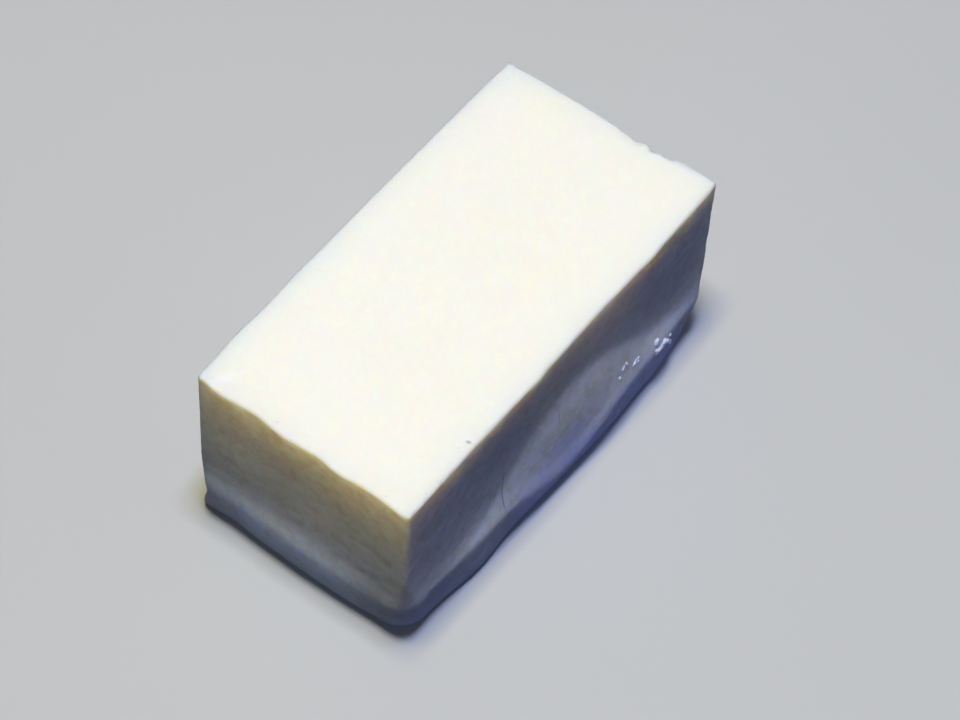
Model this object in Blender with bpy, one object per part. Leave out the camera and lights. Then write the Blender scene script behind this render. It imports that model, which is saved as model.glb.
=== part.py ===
"""A block of silken tofu, standing the way it sat in its tub: cut face up, moulded foot down.

Metres, +Z up.  The block is long in Y and narrow in X, and the origin is the middle of its
bounding box, on the underside.  It starts as a box of closely spaced grid lines.  Its edges are
rounded, its sides are pushed in and out, and its foot is left flat to stand on.
"""

import math
from collections import namedtuple

import bmesh
import bpy
import numpy as np

MM = 0.001

# Driving sizes
LENGTH = 85.0 * MM          # top face, along Y
WIDTH = 44.0 * MM           # top face, along X
HEIGHT = 41.0 * MM

# Rounded edges: the cut top is crisp, the moulded foot is soft
TOP_RIM = 0.5 * MM
FOOT_RIM = 2.0 * MM
CORNER_OPENS = (0.50, 1.0)  # share of the depth over which an upright corner goes soft

# Plan radius of each upright corner at the top and at the foot, by the signs of X and Y
CORNERS = {
    (-1, -1): (0.5 * MM, 0.9 * MM),
    (-1, 1): (0.6 * MM, 6.0 * MM),
    (1, 1): (0.4 * MM, 6.0 * MM),
    (1, -1): (0.8 * MM, 6.5 * MM),
}

# The tub leaves a soft ridge all round, above a bevel that leads down to the foot
RIDGE_HEIGHT = 10.0 * MM
RIDGE_REACH = 0.35 * MM     # how far the ridge stands out
RIDGE_SPREAD = 3.2 * MM
BEVEL = 0.9 * MM            # how far the foot lies inside the ridge

# The right side is hollow under the cut edge and swells out below an arched crease.  The swelling
# starts at a slope and levels out further down.
ARCH_MIDDLE = 5.1 * MM
ARCH_HALF_WIDTH = 21.1 * MM
ARCH_ENDS = 10.4 * MM       # height of the crease at the ends of the side
ARCH_RISE = 15.4 * MM
CREASE_RADIUS = 1.0 * MM
SWELL_SLOPE = 0.29
SWELL_EASE = 9.7 * MM
HOLLOW = 0.25 * MM
HOLLOW_MORE = (-6.5 * MM, 16.8 * MM, 0.84 * MM)     # place along, half width, further depth
HOLLOW_LEVEL = 18.7 * MM    # depth below the cut face where the hollow is deepest

EDGE_FADE = 8.0 * MM        # depth at which the waves of the top edge have died away
CHIP_FADE = 2.2 * MM        # depth of the torn places along the top edge
SIDE_REACH = 7.0 * MM       # how far into the top and bottom faces a side's shape is felt
CROWN = 0.25 * MM           # rise of the top face between its edges

# Grid lines: distances from each edge, then an even step between
EDGE_LINES = [gap * MM for gap in (0.0, 0.5, 1.5, 3.0, 4.8)]
EVEN_STEP = 2.8 * MM

# A belly or hollow of a side is (place along, height, half width, half height, reach), and the
# ridge dips by (place along, half width, depth).  A wave of the top edge or the foot is (place
# along, half width, reach), and a torn stretch of the top edge is (start, end, depth, length of
# its sloping ends).
Side = namedtuple("Side", "axis sign ridge lumps dip waves torn foot_waves")


def in_mm(*rows):
    """Rows of lengths given in millimetres."""
    return [tuple(value * MM for value in row) for row in rows]


RIGHT_SIDE = Side(
    axis=0, sign=1, ridge=10.8 * MM,
    lumps=in_mm((32, 18, 11, 8, -0.2)),
    dip=(0.0, 10.2 * MM, 5.2 * MM),
    waves=in_mm(
        (42.5, 5, -0.35), (23, 3.5, 0.22), (8, 7, -0.18), (-8, 2.2, 0.28), (-26, 6, -0.12),
    ),
    torn=[],
    foot_waves=in_mm((-23, 8, 1.2), (1, 8, -0.4), (29, 5, 0.5)),
)
LEFT_SIDE = Side(
    axis=0, sign=-1, ridge=RIDGE_HEIGHT,
    lumps=in_mm(
        (6, 29, 32, 8, -0.6), (-8, 12, 22, 10, 1.1), (-42, 9, 7, 5, -1.6), (-41, 1, 6, 4, 0.8),
    ),
    dip=(0.0, 1 * MM, 0.0),
    waves=in_mm((-42.5, 3, -0.1), (-31, 5, 0.25), (-15, 5, 0.15), (0, 34, 0.45), (42.5, 3, -0.15)),
    torn=[],
    foot_waves=in_mm((-39, 7, 1.1), (-14, 8, 0.4), (16, 10, 0.8)),
)
FRONT_SIDE = Side(
    axis=1, sign=-1, ridge=RIDGE_HEIGHT,
    lumps=in_mm((2, 29, 20, 8, -0.3), (0, 11, 12, 10, 0.3)),
    dip=(0.0, 1 * MM, 0.0),
    waves=in_mm(
        (-21.5, 2.0, -0.35), (-16.5, 1.8, 0.12), (-10.5, 3.2, -0.45), (-3.5, 2.0, 0.28),
        (3.2, 1.8, -0.25), (8.2, 2.4, 0.25), (14, 3.0, -0.18), (20, 1.2, 0.15),
    ),
    torn=[],
    foot_waves=in_mm((-16, 4, -0.4), (2, 8, 0.2), (16, 4, -0.4)),
)
BACK_SIDE = Side(
    axis=1, sign=1, ridge=RIDGE_HEIGHT,
    lumps=in_mm((-2, 29, 20, 8, -0.4), (3, 12, 14, 10, 0.5)),
    dip=(0.0, 1 * MM, 0.0),
    waves=in_mm(
        (-20, 2.0, -0.25), (-5, 4.0, 0.15), (19, 9.0, 0.8),
        (5.6, 0.9, -0.3), (9.3, 0.9, -0.5), (11.6, 0.7, -0.25),
    ),
    torn=in_mm((1.9, 13.3, 0.4, 0.8)),
    foot_waves=in_mm((-12, 6, 0.4), (9, 6, -0.3)),
)
SIDES = (RIGHT_SIDE, LEFT_SIDE, FRONT_SIDE, BACK_SIDE)


def smooth_step(low, high, value):
    """0 below low, 1 above high, and a smooth curve between."""
    share = np.clip((value - low) / (high - low), 0.0, 1.0)
    return share * share * (3.0 - 2.0 * share)


def hump(value, centre, half_width):
    """A bell curve, 1 at its centre."""
    return np.exp(-(((value - centre) / half_width) ** 2))


def grid_lines(half):
    """Positions from -half to +half, close together near both ends."""
    inner = half - EDGE_LINES[-1]
    steps = max(2, round(2.0 * inner / EVEN_STEP))
    middle = [inner * (2.0 * i / steps - 1.0) for i in range(steps + 1)]
    low_end = [gap - half for gap in EDGE_LINES[:-1]]
    high_end = [half - gap for gap in reversed(EDGE_LINES[:-1])]
    return low_end + middle + high_end


def height_lines():
    """Levels from the underside to the top, closer together in the foot and at the rim."""
    foot = [FOOT_RIM * share for share in (0.0, 0.3, 0.65, 1.0)]
    rim = [HEIGHT - gap for gap in (1.6 * MM, TOP_RIM, 0.0)]
    steps = round((rim[0] - foot[-1]) / EVEN_STEP)
    between = [foot[-1] + (rim[0] - foot[-1]) * i / steps for i in range(1, steps)]
    return foot + between + rim


def add_box_grid(bm, lines_x, lines_y, lines_z):
    """The six gridded faces of a box, sharing their vertices, all facing out."""
    made = {}

    def vertex(i, j, k):
        if (i, j, k) not in made:
            made[i, j, k] = bm.verts.new((lines_x[i], lines_y[j], lines_z[k]))
        return made[i, j, k]

    last = (len(lines_x) - 1, len(lines_y) - 1, len(lines_z) - 1)
    for axis in range(3):
        first_axis = (axis + 1) % 3
        second_axis = (axis + 2) % 3
        for level in (0, last[axis]):
            for a in range(last[first_axis]):
                for b in range(last[second_axis]):
                    corners = []
                    for step_a, step_b in ((0, 0), (1, 0), (1, 1), (0, 1)):
                        index = [0, 0, 0]
                        index[axis] = level
                        index[first_axis] = a + step_a
                        index[second_axis] = b + step_b
                        corners.append(vertex(*index))
                    if level == 0:
                        corners.reverse()
                    bm.faces.new(corners)


def round_rims(points):
    """Round the top and bottom edges of the box, each with its own radius."""
    x, y, z = points.T
    at_top = z > HEIGHT / 2
    radius = np.where(at_top, TOP_RIM, FOOT_RIM)
    inset = np.minimum(WIDTH / 2 - np.abs(x), LENGTH / 2 - np.abs(y))
    level = np.minimum(z, HEIGHT - z)
    past_inset = np.maximum(radius - inset, 0.0)
    past_level = np.maximum(radius - level, 0.0)
    longest = np.maximum(past_inset, past_level)
    length = np.hypot(past_inset, past_level)
    scale = np.divide(longest, length, out=np.ones_like(length), where=length > 0)
    drawn_in = past_inset * (1.0 - scale)
    new_level = level + past_level * (1.0 - scale)
    core = np.minimum(inset, WIDTH / 4)
    return np.stack([
        x * (1.0 - drawn_in / (WIDTH / 2 - core)),
        y * (1.0 - drawn_in / (LENGTH / 2 - core)),
        np.where(at_top, HEIGHT - new_level, new_level),
    ], axis=1)


def corner_radius(points):
    """Plan radius of the upright corner nearest to each point, at the point's height."""
    at_top = np.zeros(len(points))
    at_foot = np.zeros(len(points))
    for (sign_x, sign_y), (top_radius, foot_radius) in CORNERS.items():
        here = (points[:, 0] * sign_x >= 0) & (points[:, 1] * sign_y >= 0)
        at_top[here] = top_radius
        at_foot[here] = foot_radius
    depth_share = 1.0 - points[:, 2] / HEIGHT
    return at_top + (at_foot - at_top) * smooth_step(*CORNER_OPENS, depth_share)


def round_corners(points):
    """Turn the square corners of each level into arcs."""
    radius = corner_radius(points)
    core_x = WIDTH / 2 - radius
    core_y = LENGTH / 2 - radius
    past_x = np.maximum(np.abs(points[:, 0]) - core_x, 0.0)
    past_y = np.maximum(np.abs(points[:, 1]) - core_y, 0.0)
    length = np.hypot(past_x, past_y)
    in_corner = (past_x > 0) & (past_y > 0)
    scale = np.where(in_corner, np.maximum(past_x, past_y) / np.maximum(length, 1e-9), 1.0)
    rounded = points.copy()
    inside_x = np.abs(points[:, 0]) - past_x
    inside_y = np.abs(points[:, 1]) - past_y
    rounded[:, 0] = np.sign(points[:, 0]) * (inside_x + past_x * scale)
    rounded[:, 1] = np.sign(points[:, 1]) * (inside_y + past_y * scale)
    return rounded


def swelling(along, height, ridge):
    """The right side's hollow under the cut edge, and its swelling below the crease."""
    crease = ARCH_ENDS + ARCH_RISE * hump(along, ARCH_MIDDLE, ARCH_HALF_WIDTH)
    below = crease - np.maximum(height, ridge)
    below = (below + np.hypot(below, CREASE_RADIUS)) / 2
    swell = SWELL_SLOPE * SWELL_EASE * (1.0 - np.exp(-below / SWELL_EASE))
    centre, half_width, more = HOLLOW_MORE
    hollow = HOLLOW + more * hump(along, centre, half_width)
    return swell - hollow * smooth_step(0.0, HOLLOW_LEVEL, HEIGHT - height)


def side_profile(side, along, height):
    """How far out a side stands because of its ridge, bevel, bellies and hollows."""
    dip_centre, dip_half_width, dip_depth = side.dip
    ridge = side.ridge - dip_depth * hump(along, dip_centre, dip_half_width)
    offset = RIDGE_REACH * hump(height, ridge, RIDGE_SPREAD)
    offset = offset - BEVEL * 2.0 * smooth_step(0.0, 1.0, (ridge - height) / (2.0 * ridge))
    for centre, level, half_width, half_height, reach in side.lumps:
        offset = offset + reach * hump(along, centre, half_width) * hump(height, level, half_height)
    if side is RIGHT_SIDE:
        offset = offset + swelling(along, height, ridge)
    return offset


def edge_unevenness(side, along, height):
    """Waves and torn stretches of the top edge, and the waves of the foot."""
    depth = HEIGHT - height
    edge_fade = np.exp(-depth / EDGE_FADE)
    chip_fade = hump(depth, 0.0, CHIP_FADE)
    foot_fade = hump(height, 0.0, RIDGE_HEIGHT)
    offset = np.zeros(len(along))
    for centre, half_width, reach in side.waves:
        offset += reach * hump(along, centre, half_width) * edge_fade
    for start, end, torn_depth, slope in side.torn:
        inside = smooth_step(start, start + slope, along) - smooth_step(end - slope, end, along)
        offset -= torn_depth * inside * chip_fade
    for centre, half_width, reach in side.foot_waves:
        offset += reach * hump(along, centre, half_width) * foot_fade
    return offset


def shape_sides(points):
    """Push every side in and out; inner points of the top and the underside follow softly."""
    moved = points.copy()
    height = points[:, 2]
    for side in SIDES:
        half = (WIDTH if side.axis == 0 else LENGTH) / 2
        inward = half - side.sign * points[:, side.axis]
        weight = 1.0 - smooth_step(0.0, SIDE_REACH, inward)
        along = points[:, 1 - side.axis]
        offset = side_profile(side, along, height) + edge_unevenness(side, along, height)
        moved[:, side.axis] += side.sign * offset * weight
    return moved


def crown_top(points):
    """The cut face rises a little between its edges."""
    across = np.clip(1.0 - (2.0 * points[:, 0] / WIDTH) ** 2, 0.0, 1.0)
    along = np.clip(1.0 - (2.0 * points[:, 1] / LENGTH) ** 2, 0.0, 1.0)
    on_top = smooth_step(HEIGHT - TOP_RIM, HEIGHT, points[:, 2])
    raised = points.copy()
    raised[:, 2] += CROWN * across * along * on_top
    return raised


def centre_on_origin(points):
    """Put the middle of the bounding box, on the underside, at the origin."""
    low = points.min(axis=0)
    high = points.max(axis=0)
    middle = (low + high) / 2
    middle[2] = low[2]
    return points - middle


def merge_underside(bm):
    """Make the flat part of the underside one face."""
    level = 0.001 * MM
    flat = [face for face in bm.faces if all(vert.co.z < level for vert in face.verts)]
    bmesh.ops.dissolve_faces(bm, faces=flat, use_verts=True)


def tofu_material():
    """Moist cream-white bean curd."""
    material = bpy.data.materials.new("silken_tofu")
    material.use_nodes = True
    shader = material.node_tree.nodes["Principled BSDF"]
    shader.inputs["Base Color"].default_value = (0.90, 0.87, 0.76, 1.0)
    shader.inputs["Roughness"].default_value = 0.38
    shader.inputs["Metallic"].default_value = 0.0
    return material


def make_tofu_block():
    """The whole block, one closed body."""
    bm = bmesh.new()
    add_box_grid(bm, grid_lines(WIDTH / 2), grid_lines(LENGTH / 2), height_lines())
    points = np.array([vert.co for vert in bm.verts])
    for step in (round_rims, round_corners, crown_top, shape_sides, centre_on_origin):
        points = step(points)
    for vert, place in zip(bm.verts, points):
        vert.co = place
    merge_underside(bm)

    mesh = bpy.data.meshes.new("tofu_block")
    bm.to_mesh(mesh)
    bm.free()
    mesh.shade_smooth()
    mesh.set_sharp_from_angle(angle=math.radians(38))
    mesh.materials.append(tofu_material())
    block = bpy.data.objects.new("tofu_block", mesh)
    bpy.context.collection.objects.link(block)
    return block


for old_object in list(bpy.data.objects):
    bpy.data.objects.remove(old_object)
make_tofu_block()
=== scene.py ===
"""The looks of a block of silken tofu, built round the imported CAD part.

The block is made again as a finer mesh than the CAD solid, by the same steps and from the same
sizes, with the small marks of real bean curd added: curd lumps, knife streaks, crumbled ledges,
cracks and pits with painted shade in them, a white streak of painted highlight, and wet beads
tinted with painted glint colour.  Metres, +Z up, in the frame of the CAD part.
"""

import math
import random
from collections import namedtuple

import bmesh
import bpy
import numpy as np
from mathutils import Matrix, Vector, noise


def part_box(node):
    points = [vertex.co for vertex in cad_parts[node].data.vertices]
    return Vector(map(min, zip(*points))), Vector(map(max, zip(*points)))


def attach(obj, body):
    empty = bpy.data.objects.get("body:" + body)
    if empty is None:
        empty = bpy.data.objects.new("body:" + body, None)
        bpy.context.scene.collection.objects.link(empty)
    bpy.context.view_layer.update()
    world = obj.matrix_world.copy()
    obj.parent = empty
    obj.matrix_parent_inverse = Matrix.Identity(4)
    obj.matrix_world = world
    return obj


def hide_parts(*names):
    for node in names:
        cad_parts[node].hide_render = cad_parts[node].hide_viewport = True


MM = 0.001

# ---------------------------------------------------------------- the sizes of the CAD part

LENGTH = 85.0 * MM          # top face, along Y
WIDTH = 44.0 * MM           # top face, along X
HEIGHT = 41.0 * MM

TOP_RIM = 0.5 * MM
FOOT_RIM = 2.0 * MM
CORNER_OPENS = (0.50, 1.0)  # share of the depth over which an upright corner goes soft

# Plan radius of each upright corner at the top and at the foot, by the signs of X and Y
CORNERS = {
    (-1, -1): (0.5 * MM, 0.9 * MM),
    (-1, 1): (0.6 * MM, 6.0 * MM),
    (1, 1): (0.4 * MM, 6.0 * MM),
    (1, -1): (0.8 * MM, 6.5 * MM),
}

RIDGE_HEIGHT = 10.0 * MM
RIDGE_REACH = 0.35 * MM     # how far the ridge above the foot stands out
RIDGE_SPREAD = 3.2 * MM
BEVEL = 0.9 * MM            # how far the foot lies inside the ridge

# The right side is hollow under the cut edge and swells out below an arched crease.  The swelling
# starts at a slope and levels out further down.
ARCH_MIDDLE = 5.1 * MM
ARCH_HALF_WIDTH = 21.1 * MM
ARCH_ENDS = 10.4 * MM       # height of the crease at the ends of the side
ARCH_RISE = 15.4 * MM
CREASE_RADIUS = 1.0 * MM
SWELL_SLOPE = 0.29
SWELL_EASE = 9.7 * MM
HOLLOW = 0.25 * MM
HOLLOW_MORE = (-6.5 * MM, 16.8 * MM, 0.84 * MM)     # place along, half width, further depth
HOLLOW_LEVEL = 18.7 * MM    # depth below the cut face where the hollow is deepest

EDGE_FADE = 8.0 * MM        # depth over which the waves of the top edge die away
SIDE_REACH = 7.0 * MM       # how far into the top and bottom faces a side's shape is felt
CROWN = 0.25 * MM           # rise of the top face between its edges

# A belly or hollow of a side is (place along, height, half width, half height, reach), and the
# ridge dips by (place along, half width, depth).  A wave of the top edge or the foot is (place
# along, half width, reach).  Two sizes are only in the looks: the cut face rolls off towards a
# side by (drop, reach), and a streak's slope is its rise for each millimetre along.
Side = namedtuple("Side", "axis sign ridge lumps dip waves foot_waves roll_off slope")


def in_mm(*rows):
    """Rows of lengths given in millimetres."""
    return [tuple(value * MM for value in row) for row in rows]


NO_DIP = (0.0, 1.0 * MM, 0.0)

RIGHT_SIDE = Side(
    axis=0, sign=1, ridge=10.8 * MM,
    lumps=in_mm((32, 18, 11, 8, -0.2)),
    dip=(0.0, 10.2 * MM, 5.2 * MM),
    waves=in_mm(
        (42.5, 5, -0.35), (23, 3.5, 0.22), (8, 7, -0.18), (-8, 2.2, 0.28), (-26, 6, -0.12),
    ),
    foot_waves=in_mm((-23, 8, 1.2), (1, 8, -0.4), (29, 5, 0.5)),
    roll_off=(0.28 * MM, 2.6 * MM), slope=-0.06,
)
LEFT_SIDE = Side(
    axis=0, sign=-1, ridge=RIDGE_HEIGHT,
    lumps=in_mm(
        (6, 29, 32, 8, -0.6), (-8, 12, 22, 10, 1.1), (-42, 9, 7, 5, -1.6), (-41, 1, 6, 4, 0.8),
    ),
    dip=NO_DIP,
    waves=in_mm((-42.5, 3, -0.1), (-31, 5, 0.25), (-15, 5, 0.15), (0, 34, 0.45), (42.5, 3, -0.15)),
    foot_waves=in_mm((-39, 7, 1.1), (-14, 8, 0.4), (16, 10, 0.8)),
    roll_off=(0.06 * MM, 1.0 * MM), slope=0.05,
)
FRONT_SIDE = Side(
    axis=1, sign=-1, ridge=RIDGE_HEIGHT,
    lumps=in_mm((2, 29, 20, 8, -0.3), (0, 11, 12, 10, 0.3)),
    dip=NO_DIP,
    waves=in_mm(
        (-21.5, 2.0, -0.35), (-16.5, 1.8, 0.12), (-10.5, 3.2, -0.45), (-3.5, 2.0, 0.28),
        (3.2, 1.8, -0.25), (8.2, 2.4, 0.25), (14, 3.0, -0.18), (20, 1.2, 0.15),
    ),
    foot_waves=in_mm((-16, 4, -0.4), (2, 8, 0.2), (16, 4, -0.4)),
    roll_off=(0.16 * MM, 1.8 * MM), slope=-0.22,
)
BACK_SIDE = Side(
    axis=1, sign=1, ridge=RIDGE_HEIGHT,
    lumps=in_mm((-2, 29, 20, 8, -0.4), (3, 12, 14, 10, 0.5)),
    dip=NO_DIP,
    waves=in_mm(
        (-20, 2.0, -0.25), (-5, 4.0, 0.15), (19, 9.0, 0.8),
        (5.6, 0.9, -0.3), (9.3, 0.9, -0.5), (11.6, 0.7, -0.25),
    ),
    foot_waves=in_mm((-12, 6, 0.4), (9, 6, -0.3)),
    roll_off=(0.06 * MM, 1.0 * MM), slope=0.1,
)
SIDES = (RIGHT_SIDE, LEFT_SIDE, FRONT_SIDE, BACK_SIDE)

# ---------------------------------------------------------------- what only the looks add

# Grid lines: distances from each edge, then an even step between
EDGE_LINES = [gap * MM for gap in (0.0, 0.1, 0.22, 0.36, 0.5, 0.72, 1.0, 1.35)]
FOOT_LINES = [FOOT_RIM * share for share in (0.0, 0.15, 0.32, 0.5, 0.72, 1.0)]
EVEN_STEP = 0.45 * MM

TOP_REACH = 4.0 * MM        # how far down the sides the cut face's shape is felt
CUT_FACE_BAND = 0.2 * MM    # points this near to the box's top are on the cut face
SIDE_BAND = 0.5 * MM        # points this near to the box's right side are on it
MOULDED_BAND = (0.1 * MM, 1.2 * MM)     # depths between which cut curd turns into moulded curd

CURD_LUMPS = 0.07 * MM      # soft unevenness of every side
CURD_LUMP_SIZE = 6.0 * MM
STREAKS = 0.022 * MM        # fine streaks along a side, from the tub and the knife
STREAK_LENGTH = 7.0 * MM
STREAK_WIDTH = 0.9 * MM
WRINKLES = 0.05 * MM        # small wrinkles left by the tub
WRINKLE_SIZE = 1.7 * MM
WRINKLE_FADE = 2.0 * MM     # depth below the cut edge over which they set in
TOP_WAVES = 0.05 * MM       # unevenness of the cut face
TOP_WAVE_SIZE = 9.0 * MM
EDGE_NICKS = 0.07 * MM      # small nicks all along the top edge
EDGE_NICK_SIZE = 1.3 * MM
EDGE_NICK_FADE = 1.2 * MM
EDGE_NICK_SQUASH = 0.7      # a nick is longer up and down than along

# Where the back edge has crumbled: (X, half width, reach into the top face, drop at the edge)
CRUMBLES = in_mm(
    (3.6, 1.7, 2.3, 0.34), (6.2, 1.1, 1.5, 0.30), (8.9, 0.8, 1.1, 0.55), (10.7, 0.7, 0.8, 0.35),
    (12.6, 0.5, 0.9, 0.45),
)
CRUMBLE_RAGGED = 0.35 * MM  # how ragged the rim of a crumbled ledge is
CRUMBLE_GRAIN = 1.1 * MM
CRUMBLE_FLAT = 0.35         # share of a ledge's reach that is flat

# Where more curd has broken off the back edge: (X, half width, reach)
BREAKS = in_mm((5.2, 1.1, 0.35), (11.6, 1.8, 0.35))
BREAK_FADE = 2.5 * MM

# Dents of the cut face: (X, Y, half width in X, half width in Y, depth)
DENTS = in_mm(
    (20.8, -25.0, 0.35, 0.4, 0.22), (-18.4, -40.9, 0.8, 1.1, 0.10), (-17.4, -37.5, 0.5, 3.2, 0.06),
    (-15.9, -36.5, 0.5, 3.8, 0.05), (14.9, -9.6, 1.0, 1.3, 0.06), (20.9, 18.1, 0.9, 0.18, 0.15),
)

# Cracks of the right side: (Y and height of the foot, Y and height of the head, half width, depth)
CRACKS = in_mm((-16.3, 10.9, -14.8, 21.4, 0.11, 0.24), (-1.0, 16.8, -0.1, 24.2, 0.10, 0.10))
CRACK_SWAY = 0.12 * MM
CRACK_SWAY_LENGTH = 1.3 * MM
CRACK_FOOT_FADE = 2.0 * MM  # how far in from each end a crack is full
CRACK_HEAD_FADE = 3.0 * MM
CRACK_ZONE = 0.4 * MM       # closer grid lines on each side of a crack
CRACK_STEP = 0.1 * MM
# Past its crack the right side stands out further: (Y, height, half height, length, reach)
FOLD = in_mm((-15.6, 16.0, 4.0, 5.0, 0.15))[0]
FOLD_RISE = (-0.5 * MM, 1.0 * MM)       # before and past the crack, where it starts and is full

# Wet curds that stand out of the right side, in clusters:
# (Y, height, spread along, spread up, half length of a curd)
WET_CLUSTERS = in_mm(
    (27.5, 10.2, 0.6, 0.7, 0.60), (29.4, 9.4, 0.8, 1.0, 0.55), (31.2, 7.0, 0.7, 0.7, 0.55),
    (17.2, 16.5, 0.8, 0.6, 0.34), (20.9, 14.0, 0.4, 0.5, 0.40), (7.8, 20.8, 0.0, 0.0, 0.26),
)
WET_COUNTS = (12, 14, 10, 8, 6, 1)      # curds in each cluster
WET_SEED = 11
WET_LENGTHS = (0.5, 1.2)    # least and most, as shares of the cluster's half length
WET_THICKNESSES = (0.4, 0.75)           # as shares of the curd's own length
WET_TILTS = (10.0, 45.0)    # degrees
WET_UNEVEN = 0.35           # how uneven a curd is, as a share of its size
WET_LUMPS = 1.3             # lumps of that unevenness in its half length
BEAD_FLATNESS = 0.7         # height of a bead as a share of its width

# Beads of water and crumbs by the right and front edges of the cut face: (X, Y, half width)
EDGE_BEADS = in_mm(
    (20.1, -27.0, 0.13), (21.6, -19.8, 0.10), (21.3, -34.0, 0.12), (21.2, -37.1, 0.13),
    (21.5, -36.4, 0.08), (20.6, -35.2, 0.07), (14.9, -8.6, 0.10), (-6.0, -41.2, 0.16),
    (-5.6, -40.9, 0.10), (-6.5, -41.4, 0.10), (3.3, -41.4, 0.09), (1.0, -41.8, 0.09),
    (16.6, -41.6, 0.14), (17.1, -41.3, 0.08), (19.6, -41.9, 0.12),
)
# Painted highlight: a white streak of sheen on the cut face by the front left corner.
# (X and Y of its start, X and Y of its end, half width)
PAINTED_HIGHLIGHT = in_mm((-18.9, -41.6, -16.1, -35.4, 0.75))[0]
PAINTED_HIGHLIGHT_GROWS = (-0.25, 0.0)  # shares of its length where it starts and is full
PAINTED_HIGHLIGHT_FADES = (0.2, 1.0)    # and where it starts to fade and is gone

SHADED_DENT_DEPTH = 0.08 * MM       # a dent of the cut face gets painted shade from this depth
SHARP_ANGLE = math.radians(60.0)        # edges that turn by more than this aren't smoothed

# Noise seeds; a side adds its number in SIDES to those of its relief
LUMP_SEED = 1
STREAK_SEED = 11
NICK_SEED = 21
WRINKLE_SEED = 31
TOP_WAVE_SEED = 30
CRUMBLE_SEED = 41
SEED_SHIFT = (7.31, 3.17, 5.73)         # how far apart in the noise two seeds are


def smooth_step(low, high, value):
    """0 below low, 1 above high, and a smooth curve between."""
    share = np.clip((value - low) / (high - low), 0.0, 1.0)
    return share * share * (3.0 - 2.0 * share)


def hump(value, centre, half_width):
    """A bell curve, 1 at its centre."""
    return np.exp(-(((value - centre) / half_width) ** 2))


def soft_noise(places, seed):
    """Smooth noise from about -1 to 1 at each place; its lumps are about 1 across."""
    shift = Vector([step * seed for step in SEED_SHIFT])
    return np.array([noise.noise(Vector(place) + shift) for place in places])


# ---------------------------------------------------------------- the block's shape


def grid_lines(half):
    """Positions from -half to +half, close together near both ends."""
    inner = half - EDGE_LINES[-1]
    steps = round(2.0 * inner / EVEN_STEP)
    middle = [inner * (2.0 * i / steps - 1.0) for i in range(steps + 1)]
    low_end = [gap - half for gap in EDGE_LINES[:-1]]
    high_end = [half - gap for gap in reversed(EDGE_LINES[:-1])]
    return low_end + middle + high_end


def lines_along():
    """Lines across the length, closer together at the cracks."""
    lines = grid_lines(LENGTH / 2)
    for foot, _, head, *_ in CRACKS:
        first = min(foot, head) - CRACK_ZONE
        last = max(foot, head) + CRACK_ZONE
        lines = [line for line in lines if not first - CRACK_STEP < line < last + CRACK_STEP]
        count = round((last - first) / CRACK_STEP)
        lines += [first + CRACK_STEP * i for i in range(count + 1)]
    return sorted(lines)


def height_lines():
    """Levels from the underside to the top, closer together in the foot and at the rim."""
    rim = [HEIGHT - gap for gap in reversed(EDGE_LINES)]
    low = FOOT_LINES[-1]
    run = rim[0] - low
    steps = round(run / EVEN_STEP)
    between = [low + run * i / steps for i in range(1, steps)]
    return FOOT_LINES + between + rim


def add_box_grid(bm, lines_x, lines_y, lines_z):
    """The six gridded faces of a box, sharing their vertices, all facing out."""
    made = {}

    def vertex(i, j, k):
        if (i, j, k) not in made:
            made[i, j, k] = bm.verts.new((lines_x[i], lines_y[j], lines_z[k]))
        return made[i, j, k]

    last = (len(lines_x) - 1, len(lines_y) - 1, len(lines_z) - 1)
    for axis in range(3):
        first_axis = (axis + 1) % 3
        second_axis = (axis + 2) % 3
        for level in (0, last[axis]):
            for a in range(last[first_axis]):
                for b in range(last[second_axis]):
                    corners = []
                    for step_a, step_b in ((0, 0), (1, 0), (1, 1), (0, 1)):
                        index = [0, 0, 0]
                        index[axis] = level
                        index[first_axis] = a + step_a
                        index[second_axis] = b + step_b
                        corners.append(vertex(*index))
                    if level == 0:
                        corners.reverse()
                    bm.faces.new(corners)


def round_rims(points):
    """Round the top and bottom edges of the box, each with its own radius."""
    x, y, z = points.T
    at_top = z > HEIGHT / 2
    radius = np.where(at_top, TOP_RIM, FOOT_RIM)
    inset = np.minimum(WIDTH / 2 - np.abs(x), LENGTH / 2 - np.abs(y))
    level = np.minimum(z, HEIGHT - z)
    past_inset = np.maximum(radius - inset, 0.0)
    past_level = np.maximum(radius - level, 0.0)
    longest = np.maximum(past_inset, past_level)
    length = np.hypot(past_inset, past_level)
    scale = np.divide(longest, length, out=np.ones_like(length), where=length > 0)
    drawn_in = past_inset * (1.0 - scale)
    new_level = level + past_level * (1.0 - scale)
    core = np.minimum(inset, WIDTH / 4)
    return np.stack([
        x * (1.0 - drawn_in / (WIDTH / 2 - core)),
        y * (1.0 - drawn_in / (LENGTH / 2 - core)),
        np.where(at_top, HEIGHT - new_level, new_level),
    ], axis=1)


def corner_radius(points):
    """Plan radius of the upright corner nearest to each point, at the point's height."""
    at_top = np.zeros(len(points))
    at_foot = np.zeros(len(points))
    for (sign_x, sign_y), (top_radius, foot_radius) in CORNERS.items():
        here = (points[:, 0] * sign_x >= 0) & (points[:, 1] * sign_y >= 0)
        at_top[here] = top_radius
        at_foot[here] = foot_radius
    depth_share = 1.0 - points[:, 2] / HEIGHT
    return at_top + (at_foot - at_top) * smooth_step(*CORNER_OPENS, depth_share)


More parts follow.
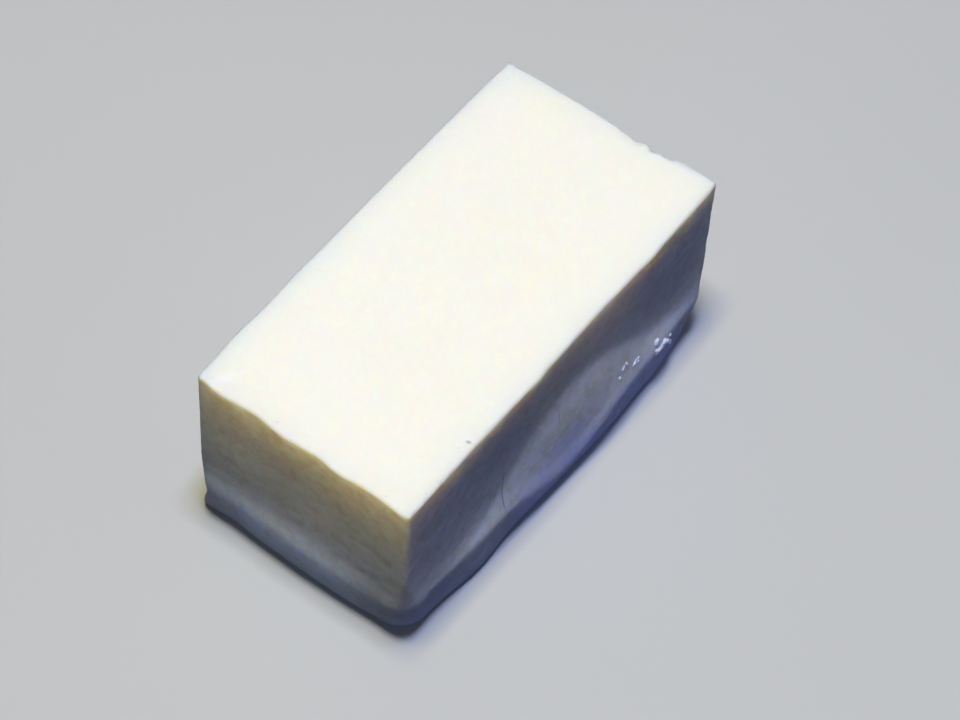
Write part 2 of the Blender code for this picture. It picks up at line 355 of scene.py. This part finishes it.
def round_corners(points):
    """Turn the square corners of each level into arcs."""
    radius = corner_radius(points)
    core_x = WIDTH / 2 - radius
    core_y = LENGTH / 2 - radius
    past_x = np.maximum(np.abs(points[:, 0]) - core_x, 0.0)
    past_y = np.maximum(np.abs(points[:, 1]) - core_y, 0.0)
    length = np.hypot(past_x, past_y)
    in_corner = (past_x > 0) & (past_y > 0)
    scale = np.where(in_corner, np.maximum(past_x, past_y) / np.maximum(length, 1e-9), 1.0)
    rounded = points.copy()
    inside_x = np.abs(points[:, 0]) - past_x
    inside_y = np.abs(points[:, 1]) - past_y
    rounded[:, 0] = np.sign(points[:, 0]) * (inside_x + past_x * scale)
    rounded[:, 1] = np.sign(points[:, 1]) * (inside_y + past_y * scale)
    return rounded


def swelling(along, height, ridge):
    """The right side's hollow under the cut edge, and its swelling below the crease."""
    crease = ARCH_ENDS + ARCH_RISE * hump(along, ARCH_MIDDLE, ARCH_HALF_WIDTH)
    below = crease - np.maximum(height, ridge)
    below = (below + np.hypot(below, CREASE_RADIUS)) / 2
    swell = SWELL_SLOPE * SWELL_EASE * (1.0 - np.exp(-below / SWELL_EASE))
    centre, half_width, more = HOLLOW_MORE
    hollow = HOLLOW + more * hump(along, centre, half_width)
    return swell - hollow * smooth_step(0.0, HOLLOW_LEVEL, HEIGHT - height)


def side_profile(side, along, height):
    """How far out a side stands because of its ridge, bevel, bellies and hollows."""
    dip_centre, dip_half_width, dip_depth = side.dip
    ridge = side.ridge - dip_depth * hump(along, dip_centre, dip_half_width)
    offset = RIDGE_REACH * hump(height, ridge, RIDGE_SPREAD)
    offset = offset - BEVEL * 2.0 * smooth_step(0.0, 1.0, (ridge - height) / (2.0 * ridge))
    for centre, level, half_width, half_height, reach in side.lumps:
        offset = offset + reach * hump(along, centre, half_width) * hump(height, level, half_height)
    if side is RIGHT_SIDE:
        offset = offset + swelling(along, height, ridge)
    return offset


def edge_waves(side, along, height):
    """Waves of the top edge and of the foot."""
    edge_fade = np.exp(-(HEIGHT - height) / EDGE_FADE)
    foot_fade = hump(height, 0.0, RIDGE_HEIGHT)
    offset = np.zeros(len(along))
    for centre, half_width, reach in side.waves:
        offset += reach * hump(along, centre, half_width) * edge_fade
    for centre, half_width, reach in side.foot_waves:
        offset += reach * hump(along, centre, half_width) * foot_fade
    return offset


def crack_marks(along, height):
    """For each crack, a bell curve across its swaying line, and the crack's depth."""
    for foot, low, head, high, half_width, depth in CRACKS:
        line = foot + (head - foot) * (height - low) / (high - low)
        line = line + CRACK_SWAY * np.sin(height / CRACK_SWAY_LENGTH)
        taper = smooth_step(low, low + CRACK_FOOT_FADE, height)
        taper = taper - smooth_step(high - CRACK_HEAD_FADE, high, height)
        yield taper * hump(along, line, half_width), depth


def crack_depth(along, height):
    """Depth of the right side's cracks."""
    return sum(mark * depth for mark, depth in crack_marks(along, height))


def fold_reach(along, height):
    """The right side stands out suddenly past its crack, then settles back."""
    centre, level, half_height, length, reach = FOLD
    past = along - centre
    rise = smooth_step(*FOLD_RISE, past) * np.exp(-np.maximum(past, 0.0) / length)
    return reach * rise * hump(height, level, half_height)


def break_depth(along, height):
    """How far the back side is set in where curd has broken off its top edge."""
    depth = np.zeros(len(along))
    for centre, half_width, reach in BREAKS:
        depth += reach * hump(along, centre, half_width)
    return depth * np.exp(-(HEIGHT - height) / BREAK_FADE)


def curd_relief(side, along, height):
    """Lumps, streaks, nicks and wrinkles that are too fine for the CAD part."""
    number = SIDES.index(side)
    depth = HEIGHT - height
    level = np.zeros(len(along))
    places = np.stack([along, height, level], axis=1)
    lumps = soft_noise(places / CURD_LUMP_SIZE, LUMP_SEED + number)
    streak_places = [along / STREAK_LENGTH, (height + side.slope * along) / STREAK_WIDTH, level]
    streaks = soft_noise(np.stack(streak_places, axis=1), STREAK_SEED + number)
    nick_places = np.stack([along, depth * EDGE_NICK_SQUASH, level], axis=1) / EDGE_NICK_SIZE
    nicks = soft_noise(nick_places, NICK_SEED + number) * np.exp(-depth / EDGE_NICK_FADE)
    wrinkles = soft_noise(places / WRINKLE_SIZE, WRINKLE_SEED + number)
    wrinkles = wrinkles * smooth_step(0.0, WRINKLE_FADE, depth)
    return CURD_LUMPS * lumps + STREAKS * streaks + EDGE_NICKS * nicks + WRINKLES * wrinkles


def side_offset(side, along, height):
    """How far out a side stands from the plain box, in all."""
    offset = side_profile(side, along, height) + edge_waves(side, along, height)
    offset += curd_relief(side, along, height)
    if side is RIGHT_SIDE:
        offset += fold_reach(along, height) - crack_depth(along, height)
    if side is BACK_SIDE:
        offset -= break_depth(along, height)
    return offset


def inward_of(side, points):
    """How far inside a side's plain plane each point lies."""
    half = (WIDTH if side.axis == 0 else LENGTH) / 2
    return half - side.sign * points[:, side.axis]


def shape_sides(points):
    """Push every side in and out; inner points of the top and the underside follow softly."""
    moved = points.copy()
    for side in SIDES:
        inward = inward_of(side, points)
        near = np.flatnonzero(inward < SIDE_REACH)
        weight = 1.0 - smooth_step(0.0, SIDE_REACH, inward[near])
        offset = side_offset(side, points[near, 1 - side.axis], points[near, 2])
        moved[near, side.axis] += side.sign * offset * weight
    return moved


def top_roll_off(points):
    """How far the cut face falls away towards each of its edges."""
    drop = np.zeros(len(points))
    for side in SIDES:
        fall, reach = side.roll_off
        drop += fall * np.clip(1.0 - inward_of(side, points) / reach, 0.0, 1.0) ** 2
    return drop


def crumble_drop(points):
    """The broken ledges of the back edge, where bits of curd have come away."""
    ragged = CRUMBLE_RAGGED * soft_noise(points / CRUMBLE_GRAIN, CRUMBLE_SEED)
    inward = inward_of(BACK_SIDE, points) + ragged
    drop = np.zeros(len(points))
    for centre, half_width, reach, depth in CRUMBLES:
        across = hump(points[:, 0], centre, half_width)
        ledge = 1.0 - smooth_step(CRUMBLE_FLAT * reach, reach, inward)
        drop = np.maximum(drop, depth * across * ledge)
    return drop


def top_dents(points):
    """Pits, the slit and the shallow folds of the cut face."""
    drop = np.zeros(len(points))
    for centre_x, centre_y, half_x, half_y, depth in DENTS:
        drop += depth * hump(points[:, 0], centre_x, half_x) * hump(points[:, 1], centre_y, half_y)
    return drop


def shape_top(points):
    """Crown the cut face, and lower it where it rolls off, has crumbled or is dented."""
    across = np.clip(1.0 - (2.0 * points[:, 0] / WIDTH) ** 2, 0.0, 1.0)
    along = np.clip(1.0 - (2.0 * points[:, 1] / LENGTH) ** 2, 0.0, 1.0)
    raised = points.copy()
    raised[:, 2] += CROWN * across * along * smooth_step(HEIGHT - TOP_RIM, HEIGHT, points[:, 2])
    near = np.flatnonzero(points[:, 2] > HEIGHT - TOP_REACH)
    here = points[near]
    follows = smooth_step(HEIGHT - TOP_REACH, HEIGHT - TOP_RIM, here[:, 2])
    flat = here * (1.0, 1.0, 0.0)
    waves = TOP_WAVES * soft_noise(flat / TOP_WAVE_SIZE, TOP_WAVE_SEED)
    raised[near, 2] += follows * (waves - top_roll_off(here) - crumble_drop(flat) - top_dents(here))
    return raised


def merge_underside(bm):
    """Make the flat part of the underside one face."""
    level = 0.001 * MM
    flat = [face for face in bm.faces if all(vert.co.z < level for vert in face.verts)]
    bmesh.ops.dissolve_faces(bm, faces=flat, use_verts=True)


def add_object(name, bm, material):
    """A smooth-shaded object from a bmesh, which is freed."""
    mesh = bpy.data.meshes.new(name)
    bm.to_mesh(mesh)
    bm.free()
    mesh.shade_smooth()
    mesh.materials.append(material)
    piece = bpy.data.objects.new(name, mesh)
    bpy.context.scene.collection.objects.link(piece)
    return piece


def cad_shift(points):
    """The move that puts the block's box where the CAD part's box is, standing on Z = 0."""
    low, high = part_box("tofu_block")
    shift = (np.array(low) + np.array(high)) / 2 - (points.min(axis=0) + points.max(axis=0)) / 2
    shift[2] = low[2] - points[:, 2].min()
    return shift


def moulded_share(points):
    """0 on the smooth cut face, 1 on the moulded sides."""
    return smooth_step(*MOULDED_BAND, HEIGHT - points[:, 2])


def painted_shade_share(points):
    """How much painted shade darkens a crack, pit or slit: 0 in sound curd, up to 1 in the crack.
    """
    shade = np.zeros(len(points))
    deepest_crack = max(crack[-1] for crack in CRACKS)
    deepest_dent = max(dent[-1] for dent in DENTS)
    right = np.flatnonzero(points[:, 0] > WIDTH / 2 - SIDE_BAND)
    for mark, depth in crack_marks(points[right, 1], points[right, 2]):
        shade[right] = np.maximum(shade[right], mark * depth / deepest_crack)
    top = np.flatnonzero(points[:, 2] > HEIGHT - CUT_FACE_BAND)
    shade[top] = smooth_step(SHADED_DENT_DEPTH, deepest_dent, top_dents(points[top]))
    return shade


def painted_highlight_share(points):
    """1 in the painted highlight streak of the cut face, fading at its ends and to both sides."""
    start_x, start_y, end_x, end_y, half_width = PAINTED_HIGHLIGHT
    run_x, run_y = end_x - start_x, end_y - start_y
    length = math.hypot(run_x, run_y)
    past_x, past_y = points[:, 0] - start_x, points[:, 1] - start_y
    along = (past_x * run_x + past_y * run_y) / length**2
    aside = (past_x * run_y - past_y * run_x) / length
    ends = smooth_step(*PAINTED_HIGHLIGHT_GROWS, along) - smooth_step(*PAINTED_HIGHLIGHT_FADES, along)
    return ends * hump(aside, 0.0, half_width) * (points[:, 2] > HEIGHT - CUT_FACE_BAND)


def keep_shares(bm, points):
    """Keep at each vertex what the material has to know about its place."""
    # Besides the moulded share, each vertex keeps where the cut face gets a white streak of painted
    # highlight and where cracks and dents get painted shade.
    shares = {
        "moulded": moulded_share(points), "painted_shade": painted_shade_share(points), "painted_highlight": painted_highlight_share(points),
    }
    for name, share in shares.items():
        layer = bm.verts.layers.float.new(name)
        for vert, value in zip(bm.verts, share):
            vert[layer] = value


def make_body(material):
    """The whole block as one closed mesh, and the move from its own axes to the CAD part's."""
    bm = bmesh.new()
    add_box_grid(bm, grid_lines(WIDTH / 2), lines_along(), height_lines())
    points = np.array([vert.co for vert in bm.verts])
    keep_shares(bm, points)
    for step in (round_rims, round_corners, shape_top, shape_sides):
        points = step(points)
    shift = cad_shift(points)
    for vert, place in zip(bm.verts, points + shift):
        vert.co = place
    merge_underside(bm)
    body = add_object("tofu_body", bm, material)
    body.data.set_sharp_from_angle(angle=SHARP_ANGLE)
    return body, Vector(shift)


def add_curd(bm, centre, size, tilt, seed):
    """One small uneven lump, half sunk where it stands."""
    turn = Matrix.Rotation(tilt, 4, "X")
    place = Matrix.Translation(centre) @ turn @ Matrix.Diagonal((*size, 1.0))
    made = bmesh.ops.create_icosphere(bm, subdivisions=3, radius=1.0)
    for vert in made["verts"]:
        lump = noise.noise(vert.co * WET_LUMPS + Vector((seed, 0.0, 0.0)))
        vert.co *= 1.0 + WET_UNEVEN * lump
        vert.co = place @ vert.co


def right_surface(y, z):
    """The point of the right side at a place along it and a height."""
    reach = side_offset(RIGHT_SIDE, np.array([y]), np.array([z]))[0]
    return Vector((WIDTH / 2 + reach, y, z))


def cut_surface(x, y):
    """The point of the cut face at a place on the plain box."""
    return Vector(shape_sides(shape_top(np.array([[x, y, HEIGHT]])))[0])


def make_wet_curds(material, shift):
    """Small wet curds on the right side and beads by the edge of the cut face, as one mesh."""
    bm = bmesh.new()
    draw = random.Random(WET_SEED)
    seed = 0
    for (along, height, spread_along, spread_up, size), count in zip(WET_CLUSTERS, WET_COUNTS):
        for _ in range(count):
            seed += 1
            y = draw.gauss(along, spread_along)
            z = draw.gauss(height, spread_up)
            length = size * draw.uniform(*WET_LENGTHS)
            thick = length * draw.uniform(*WET_THICKNESSES)
            tilt = math.radians(draw.uniform(*WET_TILTS))
            add_curd(bm, right_surface(y, z) + shift, (thick, length, thick), tilt, seed)
    for x, y, size in EDGE_BEADS:
        seed += 1
        add_curd(bm, cut_surface(x, y) + shift, (size, size, size * BEAD_FLATNESS), 0.0, seed)
    return add_object("wet_curds", bm, material)


# ---------------------------------------------------------------- materials

CUT_CREAM = (0.945, 0.935, 0.875)
CUT_DEEP_CREAM = (0.93, 0.915, 0.84)
CUT_CLOUD = (0.94, 0.935, 0.88)
# White of the painted highlight streak by the front left corner
PAINTED_HIGHLIGHT_WHITE = (0.99, 0.99, 0.98)
# Grey of the painted shade in the cracks, pits and the slit
PAINTED_SHADE_GREY = (0.30, 0.29, 0.28)
MOULDED_DULL = (0.81, 0.80, 0.71)
MOULDED_PALE = (0.965, 0.95, 0.885)
STREAK_PALE = (0.93, 0.93, 0.92)
# Grey of the painted shade in the fine creases of the sides
CREASE_SHADE_GREY = (0.63, 0.62, 0.57)
SPECK_WHITE = (1.0, 0.99, 0.96)
# Lavender white of the wet curds and beads: pale curd with a painted glint tint
WET_GLINT_PALE = (0.90, 0.91, 0.99)
WET_GLINT_DULL = (0.84, 0.85, 0.95)
FLOOR_GREY = (0.55, 0.57, 0.60, 1.0)

CURD_IOR = 1.37
WATER_IOR = 1.33


def new_material(name):
    """A material with its Principled shader, and the node tree to add to."""
    material = bpy.data.materials.new(name)
    material.use_nodes = True
    return material, material.node_tree, material.node_tree.nodes["Principled BSDF"]


def noise_value(tree, scale, detail, stretch=(1.0, 1.0, 1.0), lean=0.0):
    """Noise by object coordinates, as a socket from 0 to 1.

    Scale is lumps a metre, stretch is how much longer they are along each axis, and lean tips
    them about X.
    """
    places = tree.nodes.new("ShaderNodeTexCoord")
    mapping = tree.nodes.new("ShaderNodeMapping")
    mapping.vector_type = "TEXTURE"
    mapping.inputs["Scale"].default_value = stretch
    mapping.inputs["Rotation"].default_value = (lean, 0.0, 0.0)
    texture = tree.nodes.new("ShaderNodeTexNoise")
    texture.inputs["Scale"].default_value = scale
    texture.inputs["Detail"].default_value = detail
    tree.links.new(places.outputs["Object"], mapping.inputs["Vector"])
    tree.links.new(mapping.outputs["Vector"], texture.inputs["Vector"])
    return texture.outputs["Fac"]


def spread(tree, value, low, high, to_low, to_high):
    """Map value from low..high to to_low..to_high, held at both ends."""
    node = tree.nodes.new("ShaderNodeMapRange")
    node.inputs["From Min"].default_value = low
    node.inputs["From Max"].default_value = high
    node.inputs["To Min"].default_value = to_low
    node.inputs["To Max"].default_value = to_high
    tree.links.new(value, node.inputs["Value"])
    return node.outputs["Result"]


def mix_colour(tree, share, first, second):
    """first where share is 0, second where it is 1.  Each is a colour or a socket."""
    node = tree.nodes.new("ShaderNodeMix")
    node.data_type = "RGBA"
    tree.links.new(share, node.inputs[0])
    for socket, colour in ((node.inputs[6], first), (node.inputs[7], second)):
        if isinstance(colour, tuple):
            socket.default_value = (*colour, 1.0)
        else:
            tree.links.new(colour, socket)
    return node.outputs[2]


def bump(tree, height, strength, distance, below=None):
    """A bump from a height socket, on top of an earlier one if given."""
    node = tree.nodes.new("ShaderNodeBump")
    node.inputs["Strength"].default_value = strength
    node.inputs["Distance"].default_value = distance
    tree.links.new(height, node.inputs["Height"])
    if below is not None:
        tree.links.new(below, node.inputs["Normal"])
    return node.outputs["Normal"]


def attribute_value(tree, name):
    """A number that the mesh keeps at each vertex."""
    node = tree.nodes.new("ShaderNodeAttribute")
    node.attribute_name = name
    return node.outputs["Fac"]


def moulded_colour(tree):
    """The sides: mottled curd with leaning pale streaks, pale specks and level grey lines of
    painted crease shade.
    """
    mottles = spread(tree, noise_value(tree, 430.0, 4.0), 0.38, 0.62, 0.0, 1.0)
    leaning = noise_value(tree, 620.0, 3.0, (1.0, 1.0, 4.0), math.radians(24.0))
    streaks = spread(tree, leaning, 0.42, 0.58, 0.0, 0.8)
    # Painted shade: level grey lines where the fine creases of the sides would be shaded.
    crease_shade = spread(tree, noise_value(tree, 700.0, 2.0, (2.0, 2.0, 1.0)), 0.32, 0.46, 0.28, 0.0)
    specks = spread(tree, noise_value(tree, 1500.0, 1.0), 0.64, 0.70, 0.0, 0.7)
    curd = mix_colour(tree, mottles, MOULDED_DULL, MOULDED_PALE)
    curd = mix_colour(tree, streaks, curd, STREAK_PALE)
    curd = mix_colour(tree, crease_shade, curd, CREASE_SHADE_GREY)
    return mix_colour(tree, specks, curd, SPECK_WHITE)


def cut_colour(tree):
    """The cut face: cloudy cream with a white streak of painted highlight."""
    patches = spread(tree, noise_value(tree, 160.0, 2.0), 0.35, 0.65, 0.0, 1.0)
    clouds = spread(tree, noise_value(tree, 45.0, 1.0), 0.3, 0.7, 0.0, 1.0)
    cream = mix_colour(tree, patches, CUT_CREAM, CUT_DEEP_CREAM)
    cloudy = mix_colour(tree, clouds, cream, CUT_CLOUD)
    # Painted highlight: the white sheen streak by the front left corner.
    return mix_colour(tree, attribute_value(tree, "painted_highlight"), cloudy, PAINTED_HIGHLIGHT_WHITE)


def curd_bump(tree):
    """Fine grain with shallow pores over it."""
    grain = bump(tree, noise_value(tree, 1500.0, 3.0), 0.25, 0.05 * MM)
    pores = noise_value(tree, 420.0, 2.0, (1.0, 1.0, 0.45))
    return bump(tree, pores, 0.4, 0.15 * MM, grain)


def tofu_material():
    """Moist silken tofu: cream white, cloudy under the surface, with a thin wet coat."""
    material, tree, shader = new_material("silken_tofu")
    moulded = attribute_value(tree, "moulded")
    colour = mix_colour(tree, moulded, cut_colour(tree), moulded_colour(tree))
    # Painted shade darkens the cracks, pits and the slit.
    colour = mix_colour(tree, attribute_value(tree, "painted_shade"), colour, PAINTED_SHADE_GREY)
    wetness = spread(tree, noise_value(tree, 260.0, 3.0), 0.3, 0.7, 0.30, 0.42)
    tree.links.new(colour, shader.inputs["Base Color"])
    tree.links.new(wetness, shader.inputs["Roughness"])
    tree.links.new(curd_bump(tree), shader.inputs["Normal"])

    shader.subsurface_method = "RANDOM_WALK"
    shader.inputs["Subsurface Weight"].default_value = 0.85
    shader.inputs["Subsurface Radius"].default_value = (1.0, 0.72, 0.36)
    shader.inputs["Subsurface Scale"].default_value = 5.0 * MM
    shader.inputs["IOR"].default_value = CURD_IOR
    shader.inputs["Coat Weight"].default_value = 0.35
    shader.inputs["Coat Roughness"].default_value = 0.14
    shader.inputs["Coat IOR"].default_value = WATER_IOR
    return material


def wet_curd_glint_material():
    """Curd under a film of water, for lumps too small to glow, tinted lavender white as painted
    glint colour.
    """
    material, tree, shader = new_material("wet_curd_glint")
    patches = spread(tree, noise_value(tree, 900.0, 2.0), 0.35, 0.65, 0.0, 1.0)
    # Painted glint tint: lavender white patches on the wet curds.
    colour = mix_colour(tree, patches, WET_GLINT_PALE, WET_GLINT_DULL)
    tree.links.new(colour, shader.inputs["Base Color"])
    shader.inputs["Roughness"].default_value = 0.25
    shader.inputs["IOR"].default_value = CURD_IOR
    shader.inputs["Coat Weight"].default_value = 1.0
    shader.inputs["Coat Roughness"].default_value = 0.06
    shader.inputs["Coat IOR"].default_value = WATER_IOR
    return material


def floor_material():
    """Plain pale matt paper."""
    material, tree, shader = new_material("studio_floor")
    shader.inputs["Base Color"].default_value = FLOOR_GREY
    shader.inputs["Roughness"].default_value = 0.9
    shader.inputs["Specular IOR Level"].default_value = 0.2
    return material


# ---------------------------------------------------------------- studio

VIEW_AZIMUTH = math.radians(35.0)
VIEW_ELEVATION = math.radians(55.3)
VIEW_ROLL = math.radians(2.78)
VIEW_LENS = 142.5           # camera lens and sensor are in millimetres
VIEW_SENSOR = 36.0
VIEW_DISTANCE = 622.8 * MM
VIEW_TARGET = Vector((12.08, -11.08, 41.0)) * MM

# Soft boxes over the block, out of reflections: name, X, power, colour
OVERHEADS = (
    ("overhead_warm", -0.02, 4.98, (1.0, 0.887, 0.483)),
    ("overhead_cool", 0.08, 5.48, (0.606, 0.686, 1.0)),
)
OVERHEAD_SIZE = (0.10, 0.20)
OVERHEAD_Y = -0.06
OVERHEAD_LEVEL = 0.95

# Wide boxes low on two sides, facing the origin: name, size, place, power, colour
FILLS = (
    ("front_fill", (0.6, 0.4), (-0.3, -0.9, 0.35), 0.2, (1.0, 0.95, 0.1)),
    ("right_fill", (0.5, 0.4), (0.85, 0.25, 0.3), 0.32, (0.3, 0.41, 1.0)),
)

# Low spots that fade evenly from the middle of their cone to its rim: name, place, target,
# half angle in degrees, power, colour
GLOWS = (
    ("front_glow", (0.0, -0.63, 0.026), (0.008, -0.0425, 0.174), 14.1, 35.0, (1.0, 0.77, 0.25)),
    ("foot_glow", (0.55, -0.30, 0.012), (0.02, 0.0, -0.07), 9.0, 2.0, (0.10, 0.22, 1.0)),
)
GLOW_SOURCE = 20.0 * MM

# Narrow beams that each reach a strip of the block, or one whole hidden side: name, size,
# spread in degrees, place, target, power, colour
BEAMS = (
    ("right_rim", (0.11, 0.010), 3.0,
     (0.35, 0.0, 0.048), (0.0, 0.0, 0.048), 0.0008, (1.0, 0.7, 0.05)),
    ("right_foot", (0.05, 0.006), 2.5,
     (0.42, 0.014, 0.18), (0.022, 0.014, 0.007), 0.00022, (0.18, 0.25, 1.0)),
    ("front_foot", (0.030, 0.006), 2.5,
     (-0.004, -0.405, 0.178), (-0.004, -0.042, 0.009), 0.00014, (0.5, 0.65, 1.0)),
    ("right_middle", (0.03, 0.014), 2.5,
     (0.42, 0.005, 0.03), (0.02, 0.005, 0.03), 0.00004, (1.0, 0.85, 0.5)),
    ("front_left", (0.012, 0.016), 2.5,
     (-0.018, -0.42, 0.027), (-0.018, -0.042, 0.027), 0.000014, (1.0, 0.9, 0.4)),
    ("back_fill", (0.03, 0.06), 5.0,
     (0.0, 0.9, 0.05), (0.0, 0.0, 0.02), 0.0017, (1.0, 0.96, 0.88)),
    ("left_fill", (0.05, 0.06), 5.0,
     (-0.9, 0.012, 0.05), (0.0, 0.012, 0.02), 0.0024, (1.0, 0.96, 0.88)),
)

# The room's dim light, from straight below to straight above: share of the way up, colour
ROOM_STOPS = ((0.0, (0.02, 0.035, 0.09)), (0.5, (0.046, 0.049, 0.07)), (1.0, (0.08, 0.08, 0.085)))

FLOOR_HALF_SIZE = 1.5


def make_camera():
    """A long lens from above the corner between the front and the right side."""
    flat = math.cos(VIEW_ELEVATION)
    back = Vector((
        math.sin(VIEW_AZIMUTH) * flat, -math.cos(VIEW_AZIMUTH) * flat, math.sin(VIEW_ELEVATION),
    ))
    data = bpy.data.cameras.new("camera")
    data.lens = VIEW_LENS
    data.sensor_width = VIEW_SENSOR
    data.clip_start = 0.01
    camera = bpy.data.objects.new("camera", data)
    turn = (-back).to_track_quat("-Z", "Y").to_matrix().to_4x4()
    place = Matrix.Translation(VIEW_TARGET + back * VIEW_DISTANCE)
    camera.matrix_world = place @ turn @ Matrix.Rotation(VIEW_ROLL, 4, "Z")
    bpy.context.scene.collection.objects.link(camera)
    bpy.context.scene.camera = camera


def add_light(name, data, place, target, power, colour):
    """Put a light in the studio, facing its target."""
    data.energy = power
    data.color = colour
    light = bpy.data.objects.new(name, data)
    light.location = place
    light.rotation_mode = "QUATERNION"
    light.rotation_quaternion = (Vector(target) - Vector(place)).to_track_quat("-Z", "Y")
    bpy.context.scene.collection.objects.link(light)
    return light


def soft_box(name, size):
    """A rectangular area light."""
    data = bpy.data.lights.new(name, "AREA")
    data.shape = "RECTANGLE"
    data.size, data.size_y = size
    return data


def hide_light(light):
    """Keep a light out of the view and out of reflections."""
    light.visible_camera = False
    light.visible_glossy = False


def make_overheads():
    """The main light: two boxes overhead, warm on the left and cool on the right."""
    for name, x, power, colour in OVERHEADS:
        place = (x, OVERHEAD_Y, OVERHEAD_LEVEL)
        target = (x, OVERHEAD_Y, 0.0)
        light = add_light(name, soft_box(name, OVERHEAD_SIZE), place, target, power, colour)
        light.visible_glossy = False


def make_glows():
    """Coloured light that fades up the front side and round the right foot."""
    for name, place, target, half_angle, power, colour in GLOWS:
        data = bpy.data.lights.new(name, "SPOT")
        data.spot_size = math.radians(2.0 * half_angle)
        data.spot_blend = 1.0
        data.shadow_soft_size = GLOW_SOURCE
        hide_light(add_light(name, data, place, target, power, colour))


def make_beams():
    """Faint beams along the edges and the foot, and on the two sides turned away."""
    for name, size, spread_angle, place, target, power, colour in BEAMS:
        data = soft_box(name, size)
        data.spread = math.radians(spread_angle)
        hide_light(add_light(name, data, place, target, power, colour))


def make_room():
    """Dim light from all round: bluish and darkest from below, as in a deep blue dish."""
    world = bpy.data.worlds.new("room")
    world.use_nodes = True
    tree = world.node_tree
    direction = tree.nodes.new("ShaderNodeTexCoord")
    parts = tree.nodes.new("ShaderNodeSeparateXYZ")
    ramp = tree.nodes.new("ShaderNodeValToRGB")
    tree.links.new(direction.outputs["Generated"], parts.inputs[0])
    rise = spread(tree, parts.outputs["Z"], -1.0, 1.0, 0.0, 1.0)
    tree.links.new(rise, ramp.inputs["Fac"])
    while len(ramp.color_ramp.elements) < len(ROOM_STOPS):
        ramp.color_ramp.elements.new(0.5)
    for element, (place, colour) in zip(ramp.color_ramp.elements, ROOM_STOPS):
        element.position = place
        element.color = (*colour, 1.0)
    tree.links.new(ramp.outputs["Color"], tree.nodes["Background"].inputs["Color"])
    bpy.context.scene.world = world


def make_studio_light():
    """All the lights and the dim room round them."""
    make_overheads()
    for name, size, place, power, colour in FILLS:
        add_light(name, soft_box(name, size), place, (0.0, 0.0, 0.0), power, colour)
    make_glows()
    make_beams()
    make_room()
    bpy.context.scene.view_settings.view_transform = "Standard"


def make_floor():
    """A pale sheet under the block, far wider than the view."""
    bm = bmesh.new()
    bmesh.ops.create_grid(bm, x_segments=1, y_segments=1, size=FLOOR_HALF_SIZE)
    floor = add_object("floor", bm, floor_material())
    floor.visible_diffuse = False
    floor.visible_glossy = False


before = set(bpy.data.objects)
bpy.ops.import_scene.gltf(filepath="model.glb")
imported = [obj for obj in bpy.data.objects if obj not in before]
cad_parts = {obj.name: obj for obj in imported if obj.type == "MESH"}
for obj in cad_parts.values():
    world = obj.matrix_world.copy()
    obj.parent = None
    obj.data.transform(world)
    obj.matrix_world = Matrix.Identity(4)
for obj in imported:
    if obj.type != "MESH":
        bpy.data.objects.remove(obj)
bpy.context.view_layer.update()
make_camera()
make_studio_light()
make_floor()

body, body_shift = make_body(tofu_material())
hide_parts("tofu_block")
wet_curds = make_wet_curds(wet_curd_glint_material(), body_shift)
for piece in (body, wet_curds):
    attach(piece, "root")
